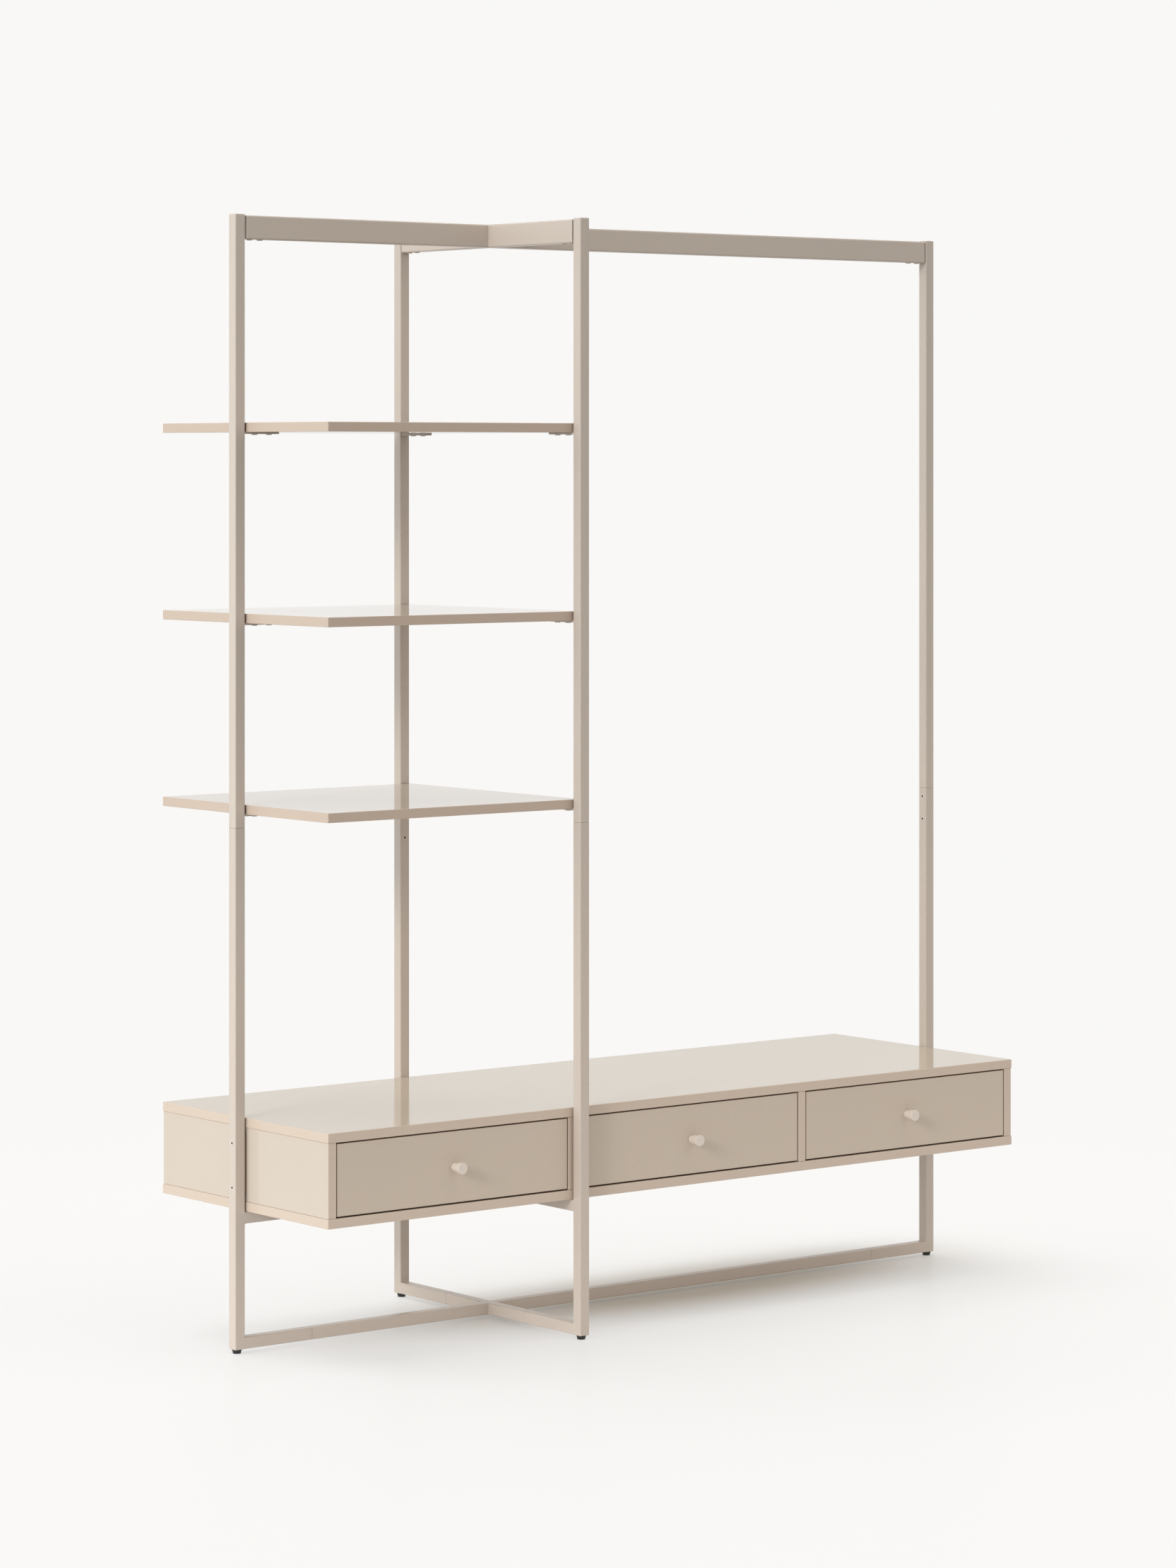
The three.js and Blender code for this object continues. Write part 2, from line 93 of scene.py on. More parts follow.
# Screw heads: a dome's power, a socket's lip and the ring amid its floor as shares of its reach, its
# bevel and its floors; in millimetres a flat head's back, the width of its rim and its depths.
DOME_POWER, SOCKET_LIP, SOCKET_HUB, SOCKET_BEVEL = 2.2, 1.15, 0.00005, 0.15 * MM
PAN_FLOOR, FLAT_FLOOR = 0.5 * MM, -1.1 * MM
FLAT_BACK, FLAT_RIM, FLAT_DEPTHS = 1.9, 0.35, (-1.45, -1.35, -0.22, -0.08, -0.03)

# The directions towards the far lights and their tints.
FAR_LIGHTS = {
    "top": ((0.05, 0.25, 1.0), (0.985, 0.98, 0.955)),
    "floor": ((-0.3, 0.2, 1.0), (1.0, 1.0, 1.0)),
    "kicker": ((0.55, -0.70, 0.75), (1.0, 0.94, 0.87)),
    "front": ((-0.90, -0.31, 0.36), (1.0, 0.98, 0.95)),
}
KEY_AIM, KEY_TINT = (-0.3, 0.0, 0.9), (0.92, 0.97, 1.0)
BACK_LEFT = (-0.99, 0.15, 0.0)  # the brighter side of the surroundings
FLOOR_SIDES, FLOOR_RINGS = 96, 9
FLOOR_FADE = (0.34, 0.75)  # shares of the floor's radius between which it fades
# Painted shade: inside this ellipse the floor is tinted warm and does not glow.
# The ellipse under the cabinet: scale and move that make it a circle, and the radii of its fade.
CORE_SCALE, CORE_MOVE, CORE_FADE = (2.1, 6.6, 1.0), (-0.46, -0.15, 0.0), (0.4, 2.0)


# ---- settings


def number(name, default, description, least=0.0, **more):
    """A plain number."""
    return FloatProperty(name=name, default=default, description=description, min=least, **more)


def length(name, default_mm, description):
    """A size in metres whose default is given in millimetres."""
    return number(name, default_mm * MM, description, unit="LENGTH", precision=5)


def angle(name, degrees, description):
    """An angle whose default is given in degrees."""
    return number(name, math.radians(degrees), description, subtype="ANGLE")


def vector(name, default, description, **more):
    """Several numbers."""
    return FloatVectorProperty(name=name, default=default, description=description,
                               size=len(default), **more)


def lengths(name, defaults_mm, description):
    """Sizes in metres whose defaults are given in millimetres."""
    return vector(name, [mm * MM for mm in defaults_mm], description, unit="LENGTH", precision=5)


def colour(name, default, description):
    """A linear colour."""
    return vector(name, default, description, min=0.0, max=1.0, subtype="COLOR")


class SteelSizes(PropertyGroup):
    """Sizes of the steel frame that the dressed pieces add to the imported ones."""

    tube_corner: length("Tube corner", 2.2, "Radius along a tube's edges")
    end_round: length("Tube end", 0.8, "Rounding of a tube's sawn end")
    top_round: length("Post top", 1.9, "Rounding of a post's closed top")
    wall: length("Tube wall", 1.5, "Wall of every tube")
    slack: length("Spigot slack", 0.3, "Gap between a spigot and the tube around it")
    strip: length("Bracket strip", 3.0, "Thickness of the brackets' strip")
    strip_edge: length("Bracket edge", 0.6, "Rounding along a bracket's edges")
    bend: length("Bend", 1.0, "Radius inside a shelf bracket's bend")


class BoardSizes(PropertyGroup):
    """Sizes of the boards and of the drawers."""

    arris: length("Arris", 1.0, "Rounding along a board's edges")
    tray_wall: length("Tray wall", 12.0, "Thickness of a tray's boards")
    tray_bottom: length("Tray bottom", 4.0, "Thickness of a tray's bottom")
    tray_rise: length("Bottom rise", 8.0, "From a tray's lower edge up to its bottom")


class ScrewSizes(PropertyGroup):
    """Sizes of the screws."""

    flat_radius: length("Flat head", 5.0, "Radius of a countersunk head")
    pan_radius: length("Pan head", 5.25, "Radius of a domed head")
    pan_height: length("Pan height", 1.4, "Height of a domed head")
    socket: length("Socket", 1.9, "Reach of the hex socket's corners")
    seam_drops: lengths("Seam screws", (16.0, 58.0), "From the seam down to the screws of the spigot")
    seam: length("Seam", 876.0, "Height of the seam in the posts")
    cabinet_spread: length("Cabinet screws", 74.0, "Between the screws into the cabinet")
    shelf_row: lengths("Shelf screws", (25.3, 54.5), "From the post to the screws into a shelf")
    beam_row: lengths("Beam screws", (15.0, 36.0), "From the post to the screws into a beam")
    runner_radius: length("Runner screw", 3.4, "Radius of the domed heads on the runners")
    runner_height: length("Runner screw height", 1.2, "Height of the domed heads there")
    runner_socket: length("Runner screw socket", 1.4, "Reach of their sockets' corners")
    runner_first: length("First runner screw", 55.0, "From a runner's front end to its first screw")
    rail_first: length("First rail screw", 30.0, "From a rail's front end to its first screw")
    web: length("Runner sheet", 1.5, "Thickness of the runners' sheet")
    knob_radius: length("Knob screw", 4.08, "Radius of the domed heads inside the drawers")


class Finishes(PropertyGroup):
    """Colours of the finishes."""

    coat: colour("Powder coat", (0.545, 0.467, 0.40), "Satin powder coat of the steel")
    face: colour("Board face", (0.545, 0.465, 0.386), "Melamine face of the boards")
    shelf: colour("Shelf face", (0.545, 0.465, 0.386), "Melamine face of the shelves")
    edging: colour("Board edging", (0.572, 0.463, 0.372), "Edging of the cabinet's boards")
    # Painted shade: a darker, less blue copy of the board edging for the shelves.
    shelf_edging: colour("Shelf edging", (0.525, 0.412, 0.326), "Edging of the shelves")
    drawer: colour("Drawer front", (0.55, 0.46, 0.374), "Lacquered face of the drawer fronts")
    knob: colour("Knob", (0.69, 0.61, 0.535), "Satin coat of the knobs")
    screw: colour("Screw", (0.60, 0.525, 0.455), "Pale coat of the countersunk screws")
    # Painted light: a yellower copy of the board face for the cabinet's top, for how light falls on it.
    top_face: colour("Top face", (0.545, 0.455, 0.348), "Melamine face of the cabinet's top")
    tray: colour("Drawer tray", (0.56, 0.50, 0.42), "Foil on the drawer trays")
    foot: colour("Foot", (0.012, 0.012, 0.013), "Black plastic of the feet")
    spacer: colour("Spacer", (0.145, 0.098, 0.066), "Brown plastic beside the cabinet")
    # Painted shade: the near-black plate of the shelf brackets, in the slot beside the post.
    plate_shade: colour("Bracket plate", (0.065, 0.045, 0.032), "Brown plate of the shelf brackets")
    zinc: colour("Zinc", (0.50, 0.51, 0.52), "Zinc plating of the drawer runners")
    socket: colour("Socket", (0.07, 0.06, 0.05), "Shade inside the sockets of the screws")
    rim: colour("Rim", (0.24, 0.195, 0.16), "Shade round the countersunk screws")


class Studio(PropertyGroup):
    """The floor, the light and the camera."""

    backdrop: colour("Backdrop", (0.947, 0.939, 0.922), "Plain pale surroundings")
    floor: colour("Floor", (0.762, 0.753, 0.751), "Plain pale floor")
    # Painted warm shade: the floor's colour under the cabinet.
    painted_warm_shade: colour("Warm floor", (0.83, 0.806, 0.75), "Floor under the cabinet, warmed by it")
    floor_light: number("Shade", 0.45, "Light on the floor alone, which deepens its shadow")
    floor_spread: angle("Shade spread", 45.0, "Width of the light on the floor alone")
    # Painted light: outside the cabinet's shade the floor glows in the backdrop's colour, which lifts
    # its shadows.
    glow: number("Floor glow", 0.60, "Share of its light that the floor gives off outside the shadow")
    fill: number("Fill", 1.0, "Brightness at the horizon, falling to none overhead")
    low_fill: number("Low fill", 0.15, "Brightness below the horizon")
    cool: colour("Cool side", (0.88, 0.93, 0.96), "Light from the back left and from above")
    warm: colour("Warm side", (1.0, 0.93, 0.85), "Light from the front right")
    lean: number("Lean", 0.85, "Share by which the back left is brighter than the middle")
    key: number("Key", 26.5, "Power of the soft box at the left in watts")
    key_place: vector("Key place", (-2.7, 0.0, 1.5), "Middle of the soft box")
    key_width: length("Key width", 1200.0, "Width of the soft box")
    key_height: length("Key height", 2700.0, "Height of the soft box")
    kicker_light: number("Kicker", 0.23, "Light on a face turned to the front right")
    kicker_spread: angle("Kicker spread", 70.0, "Width of the weak light at the front right")
    front_light: number("Front", 0.33, "Light on a face turned to the left")
    front_spread: angle("Front spread", 14.0, "Width of the small light from the left")
    top_light: number("Top", 0.44, "Light on a face turned up")
    top_spread: angle("Top spread", 70.0, "Width of the overhead light")
    floor_radius: length("Floor radius", 3600.0, "Radius of the floor")
    lens: number("Lens", 107.37, "Focal length in millimetres")
    sensor: number("Sensor", 36.0, "Width of the sensor in millimetres")
    shift: number("Shift", -0.2064, "Shift of the picture, as a share of its height", -1.0)
    turn: angle("Turn", 38.395, "Turn of the view from the back towards the right")
    camera: vector("Camera", (-5.16275, -6.47589, 1.48893), "Place of the camera")


# ---- surfaces


def linked(name, data):
    """A new object of the data, linked to the scene."""
    item = bpy.data.objects.new(name, data)
    bpy.context.scene.collection.objects.link(item)
    return item


def mesh_piece(name, points, faces, material_of=None):
    """A mesh object from points and faces; material_of gives each face's material number."""
    mesh = bpy.data.meshes.new(name)
    mesh.from_pydata(points.tolist(), [], faces)
    if material_of is not None:
        mesh.polygons.foreach_set("material_index", np.asarray(material_of, np.int32))
    mesh.update()
    return linked(name, mesh)


class Shells:
    """Closed shells gathered into one mesh, with a material number for every face."""

    def __init__(self):
        self.points = []
        self.faces = []
        self.kinds = []
        self.count = 0

    def add(self, rings, kind=0):
        """Adds a surface through rings, an array of (ring, point on it, xyz).

        Quads join each ring to the next, and the first and the last ring are filled. The kind is one
        material number, or one for each band between two rings.
        """
        rings = np.asarray(rings, float)
        rows, columns = rings.shape[:2]
        index = np.arange(rows * columns).reshape(rows, columns) + self.count
        below, above = index[:-1], index[1:]
        quads = np.stack([below, np.roll(below, -1, 1), np.roll(above, -1, 1), above], -1)
        bands = np.broadcast_to(np.asarray(kind, int), rows - 1)
        self.points.append(rings.reshape(-1, 3))
        self.faces += quads.reshape(-1, 4).tolist() + [index[0][::-1].tolist(), index[-1].tolist()]
        self.kinds += np.repeat(bands, columns).tolist() + [int(bands[0]), int(bands[-1])]
        self.count += rows * columns
        return self

    def piece(self, name, smooth_below=SMOOTH):
        """The shells as one object, shaded smooth where faces meet at less than this angle."""
        piece = mesh_piece(name, np.concatenate(self.points), self.faces, self.kinds)
        piece.data.polygons.foreach_set("use_smooth", np.ones(len(self.faces), bool))
        piece.data.set_sharp_from_angle(angle=smooth_below)
        return true_flats(piece)


def on_circle(angle):
    """The points (cos a, sin a)."""
    return np.stack([np.cos(angle), np.sin(angle)], -1)


def corner_arcs(half_width, half_height, radius, steps):
    """Points round a rectangle with round corners, each at its corner's centre + r (cos a, sin a)."""
    turned = np.linspace(0.0, math.pi / 2, steps + 1) + np.arange(4)[:, None] * math.pi / 2
    quarters = np.array([[1, 1], [-1, 1], [-1, -1], [1, -1]])
    centres = quarters * [half_width - radius, half_height - radius]
    return (centres[:, None] + radius * on_circle(turned)).reshape(-1, 2)


AXES = {"x": (1, 2, 0), "y": (2, 0, 1), "z": (0, 1, 2)}


def to_axis(sections, along, axis):
    """Puts sections, an array (ring, point, 2), at the places along the named axis."""
    first, second, third = AXES[axis]
    rings = np.empty(sections.shape[:2] + (3,))
    rings[..., first] = sections[..., 0]
    rings[..., second] = sections[..., 1]
    rings[..., third] = np.asarray(along)[:, None]
    return rings


def end_profile(round_low, round_high, low, high, steps):
    """Insets and places of the rings from one rounded end of a bar to the other.

    At a rounded end the inset is r (1 - sin t) and the depth r (1 - cos t), for t up to 90 degrees.
    """
    t = np.linspace(0.0, math.pi / 2, steps + 1)
    inwards, deep = 1 - np.sin(t), 1 - np.cos(t)
    inset = np.concatenate([round_low * inwards, (round_high * inwards)[::-1]])
    along = np.concatenate([low + round_low * deep, (high - round_high * deep)[::-1]])
    return inset, along


def bar_rings(low, high, axis, corner, end_low, end_high, corner_steps=6, end_steps=3):
    """Rings of a solid bar between two corner points, with round edges along it and round ends.

    A ring at inset i is the section's rectangle with round corners, drawn in by i on all sides.
    """
    first, second, third = AXES[axis]
    low, high = np.asarray(low, float), np.asarray(high, float)
    half = (high - low) / 2
    centre = (high + low) / 2
    inset, along = end_profile(end_low, end_high, low[third], high[third], end_steps)
    sections = np.stack([
        corner_arcs(half[first] - i, half[second] - i, max(corner - i, corner * LEAST_CORNER),
                    corner_steps)
        for i in inset
    ])
    sections += [centre[first], centre[second]]
    return to_axis(sections, along, axis)


def turned_rings(profile, centre, axis, steps=48):
    """Rings of a solid of revolution: each (radius, height) of the profile swept round the axis.

    A point is centre + radius (cos a, sin a) across the axis and height along it.
    """
    profile = np.asarray(profile, float)
    sections = profile[:, 0, None, None] * on_circle(np.arange(steps) / steps * 2 * math.pi)
    return to_axis(sections, profile[:, 1], axis) + centre


def arc_points(centre, radius, start, stop, steps):
    """Points on an arc, centre + radius (cos a, sin a), for a from start to stop in degrees."""
    return centre + radius * on_circle(np.radians(np.linspace(start, stop, steps + 1)))


def from_mm(points, height=0.0):
    """Points (radius, height) in millimetres as metres, raised by a height in metres."""
    return np.array(points) * MM + [0.0, height]


def strip_rings(path, width, thickness, edge, edge_steps=2):
    """Rings of a flat strip bent along a path of (distance from the post, height).

    The strip's section, width by thickness with round edges, is carried along the path, its width
    across the path's plane and its thickness along the path's own normal.
    """
    path = np.asarray(path, float)
    tangent = np.gradient(path, axis=0)
    tangent /= np.linalg.norm(tangent, axis=1)[:, None]
    normal = np.stack([-tangent[:, 1], tangent[:, 0]], -1)
    section = corner_arcs(width / 2, thickness / 2, edge, edge_steps)
    across = np.broadcast_to(section[None, :, 0], (len(path), len(section)))
    lift = section[:, 1]
    out = path[:, None, 0] + lift[None] * normal[:, None, 0]
    up = path[:, None, 1] + lift[None] * normal[:, None, 1]
    return np.stack([out, -across, up], -1)


def placed(rings, turn, offset):
    """Rings turned about Z and moved by the offset."""
    c, s = math.cos(turn), math.sin(turn)
    rotation = np.array([[c, s, 0], [-s, c, 0], [0, 0, 1]])
    return np.asarray(rings) @ rotation + np.asarray(offset, float)


# ---- shader maths


class Field:
    """A number that varies over a surface: a shader socket that takes Python's arithmetic."""

    def __init__(self, finish, socket):
        self.finish = finish
        self.socket = socket

    def maths(self, operation, *values):
        return self.finish.node("ShaderNodeMath", dict(enumerate(values)), operation=operation)

    def __add__(self, other):
        return self.maths("ADD", self, other)

    def __rsub__(self, other):
        return self.maths("SUBTRACT", other, self)

    def __mul__(self, other):
        return self.maths("MULTIPLY", self, other)

    def larger(self, other):
        return self.maths("MAXIMUM", self, other)

    def step(self, start, end):
        """0 below start, 1 above end and a smooth rise between them."""
        sockets = {"Value": self, "From Min": start, "From Max": end}
        return self.finish.node("ShaderNodeMapRange", sockets, interpolation_type="SMOOTHSTEP")

    __radd__ = __add__
    __rmul__ = __mul__


class Finish:
    """A material, or the world, with one method that adds every node."""

    def __init__(self, owner):
        owner.use_nodes = True
        self.owner = owner
        self.tree = owner.node_tree
        self.tree.nodes.clear()

    def node(self, kind, sockets=None, output=0, **settings):
        """Adds a node: its settings first, then the values or links of its sockets."""
        node = self.tree.nodes.new(kind)
        for name, value in settings.items():
            setattr(node, name, value)
        for name, value in (sockets or {}).items():
            self.feed(node.inputs[name], value)
        return Field(self, node.outputs[output])

    def feed(self, socket, value):
        """Links a field to a socket, or sets the socket's value."""
        if isinstance(value, Field):
            self.tree.links.new(value.socket, socket)
        else:
            socket.default_value = value

    def noise(self, place, scale, detail=2.0, roughness=0.5):
        """Noise from 0 to 1 about every 1 / scale metres."""
        sockets = {"Vector": place, "Scale": scale, "Detail": detail, "Roughness": roughness}
        return self.node("ShaderNodeTexNoise", sockets, "Fac")

    def bumped(self, height, strength, distance):
        """The normal that a field of heights gives."""
        sockets = {"Strength": strength, "Distance": distance, "Height": height}
        return self.node("ShaderNodeBump", sockets, "Normal")

    def moved(self, place, scale, move=(0.0, 0.0, 0.0)):
        """Places scaled and then moved."""
        sockets = {"Vector": place, "Scale": scale, "Location": move}
        return self.node("ShaderNodeMapping", sockets, "Vector")

    def reach(self, place):
        """The distance of places from their origin."""
        return self.node("ShaderNodeVectorMath", {0: place}, "Value", operation="LENGTH")

    def blend(self, factor, first, second):
        """Mixes two colours."""
        node = self.tree.nodes.new("ShaderNodeMix")
        node.data_type = "RGBA"
        sockets = {(socket.name, socket.type): socket for socket in node.inputs}
        self.feed(sockets["Factor", "VALUE"], factor)
        self.feed(sockets["A", "RGBA"], first)
        self.feed(sockets["B", "RGBA"], second)
        return Field(self, next(s for s in node.outputs if s.type == "RGBA"))

    def surface(self, **sockets):
        """Ends the material in one Principled BSDF; names with spaces are written with underscores."""
        named = {name.replace("_", " "): value for name, value in sockets.items()}
        shader = self.node("ShaderNodeBsdfPrincipled", named, "BSDF")
        self.node_output(shader)
        return self.owner

    def node_output(self, shader, kind="ShaderNodeOutputMaterial"):
        output = self.tree.nodes.new(kind)
        self.tree.links.new(shader.socket, output.inputs["Surface"])


def new_material(name):
    """The finish of a new material, and the place on the object that wears it."""
    finish = Finish(bpy.data.materials.new(name))
    return finish, finish.node("ShaderNodeTexCoord", output="Object")


def tinted(rgb, factor=1.0):
    """A colour brightened or darkened by the factor, with full alpha."""
    return tuple(min(channel * factor, 1.0) for channel in rgb) + (1.0,)


def satin(name, rgb, grain, grain_scale, roughness, bump, cloud=0.024):
    """A satin coat: fine grain and slow clouds in its colour, uneven gloss and a faint orange peel."""
    finish, place = new_material(name)
    fine = finish.noise(place, grain_scale, 2.0, 0.6)
    slow = finish.noise(place, 2.3, 3.0)
    shade = fine * 0.7 + slow * 0.3
    base = finish.blend(fine.step(0.32, 0.68), tinted(rgb, 1 - grain), tinted(rgb, 1 + grain))
    base = finish.blend(slow.step(0.35, 0.65) * 0.5, base, tinted(rgb, 1 - cloud))
    gloss = roughness - 0.04 + shade * 0.08
    return finish.surface(Base_Color=base, Roughness=gloss, Normal=finish.bumped(fine, 0.35, bump))


def brushed_zinc(name, rgb):
    """Zinc-plated sheet: long faint brush lines along Y and a blotchy half gloss."""
    finish, place = new_material(name)
    lines = finish.noise(finish.moved(place, (1.0, 0.03, 1.0)), 2200.0)
    blotch = finish.noise(place, 60.0, 3.0)
    base = finish.blend(lines.step(0.3, 0.7), tinted(rgb, 0.88), tinted(rgb, 1.1))
    return finish.surface(Base_Color=base, Metallic=1.0, Roughness=0.28 + blotch * 0.2,
                          Normal=finish.bumped(lines, 0.3, 0.02 * MM))


def moulded(name, rgb, roughness):
    """Moulded plastic: an even colour under a fine spark-eroded texture with scuffed high spots."""
    finish, place = new_material(name)
    pits = finish.noise(place, 1500.0)
    scuffs = finish.noise(place, 240.0, 4.0, 0.7)
    base = finish.blend(scuffs.step(0.6, 0.8) * 0.35, tinted(rgb), tinted(rgb, 3.0))
    return finish.surface(Base_Color=base, Roughness=roughness + scuffs * 0.15,
                          Normal=finish.bumped(pits, 0.5, 0.04 * MM))


# By the colour: the material's name, the grain's depth and fineness, the roughness and the height
# of the orange peel.
SATINS = {
    "coat": ("greige_powder_coat", 0.055, 700.0, 0.30, 0.00003),
    "face": ("greige_melamine_face", 0.03, 800.0, 0.09, 0.000004),
    "top_face": ("greige_top_face", 0.03, 800.0, 0.09, 0.000004),
    "screw": ("pale_screw_coat", 0.02, 1400.0, 0.32, 0.00001),
    "shelf": ("greige_shelf_face", 0.03, 800.0, 0.055, 0.000001),
    "edging": ("greige_edging", 0.03, 800.0, 0.30, 0.00001),
    "shelf_edging": ("greige_shelf_edging", 0.03, 800.0, 0.30, 0.00001),
    "drawer": ("greige_drawer_lacquer", 0.035, 800.0, 0.36, 0.00001),
    "knob": ("pale_knob_coat", 0.02, 1400.0, 0.32, 0.00001),
    "tray": ("linen_foil", 0.03, 900.0, 0.50, 0.00002),
}
# By the colour: the material's name and the roughness.
MOULDINGS = {
    "foot": ("black_plastic", 0.38),
    "spacer": ("brown_plastic", 0.5),
    # Painted shade on the shelf brackets' plates.
    "plate_shade": ("brown_bracket_plate", 0.5),
    "socket": ("screw_socket_shade", 0.5),
    "rim": ("screw_rim_shade", 0.5),
}
MATERIALS = {}


def make_materials(finishes):
    """Makes all the finishes of the wardrobe."""
    for make, table in ((satin, SATINS), (moulded, MOULDINGS)):
        for key, (name, *look) in table.items():
            MATERIALS[key] = make(name, getattr(finishes, key), *look)
    MATERIALS["zinc"] = brushed_zinc("zinc_plate", finishes.zinc)


def finish_piece(piece, materials, slot, body, *nodes):
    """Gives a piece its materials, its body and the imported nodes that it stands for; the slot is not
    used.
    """
    for name in materials:
        piece.data.materials.append(MATERIALS[name])
    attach(piece, body)
    if nodes:
        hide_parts(*nodes)


def finish_steel(piece, materials, *nodes):
    """Finishes a piece of the steel frame."""
    finish_piece(piece, materials, "frame_steel", ROOT_BODY, *nodes)


def repainted(node, finish):
    """Gives a packed object that stays as it is one finish."""
    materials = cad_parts[node].data.materials
    materials.clear()
    materials.append(MATERIALS[finish])


def packed_shape(node):
    """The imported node's own shape as a new piece: triangles joined and round edges shaded smooth."""
    name = f"{node}_coat"
    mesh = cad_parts[node].data.copy()
    mesh.name = name
    mesh.materials.clear()
    build = bmesh.new()
    build.from_mesh(mesh)
    bmesh.ops.remove_doubles(build, verts=build.verts, dist=JOIN)
    bmesh.ops.dissolve_limit(build, angle_limit=FLAT_BELOW, verts=build.verts, edges=build.edges)
    build.to_mesh(mesh)
    build.free()
    mesh.attributes.remove(mesh.attributes["custom_normal"])
    mesh.polygons.foreach_set("use_smooth", np.ones(len(mesh.polygons), bool))
    mesh.set_sharp_from_angle(angle=PACKED_SMOOTH)
    return true_flats(linked(name, mesh))


def true_flats(piece):
    """Keeps flat faces flat to the eye where they run into round edges."""
    flats = piece.modifiers.new("flat_faces", "WEIGHTED_NORMAL")
    flats.weight = 100
    flats.keep_sharp = True
    return piece


def corners(node):
    """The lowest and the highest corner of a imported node, as arrays."""
    low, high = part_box(node)
    return np.array(low), np.array(high)


def middle(node):
    """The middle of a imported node."""
    return sum(corners(node)) / 2


def nodes_named(*starts):
    """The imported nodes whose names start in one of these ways, in order."""
    return [node for node in sorted(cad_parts) if node.startswith(starts)]


# ---- the posts' places


def heading(turn):
    """The unit vector (cos, sin, 0) of a turn."""
    return np.array([math.cos(turn), math.sin(turn), 0.0])


def post_place(side):
    """The middle of a post's inner face on the floor, and the turn that points +X inwards."""
    node = f"upper_post_{side}"
    low, high = corners(node)
    turn = {"left": 0.0, "right": math.pi, "front": math.pi / 2, "back": -math.pi / 2}[side]
    return (middle(node) + (high[0] - low[0]) / 2 * heading(turn)) * [1, 1, 0], turn


def own_box(node):
    """A bracket's corners in its post's own frame, and the post's place and turn.

    In that frame the post's inner face is x = 0, and +X points inwards.
    """
    place, turn = post_place(node.rsplit("_", 1)[1])
    low, high = corners(node)
    c, s = math.cos(turn), math.sin(turn)
    back = np.array([[c, -s, 0], [s, c, 0], [0, 0, 1]])
    ends = np.array([(low - place) @ back, (high - place) @ back])
    return ends.min(0), ends.max(0), place, turn


# ---- operators


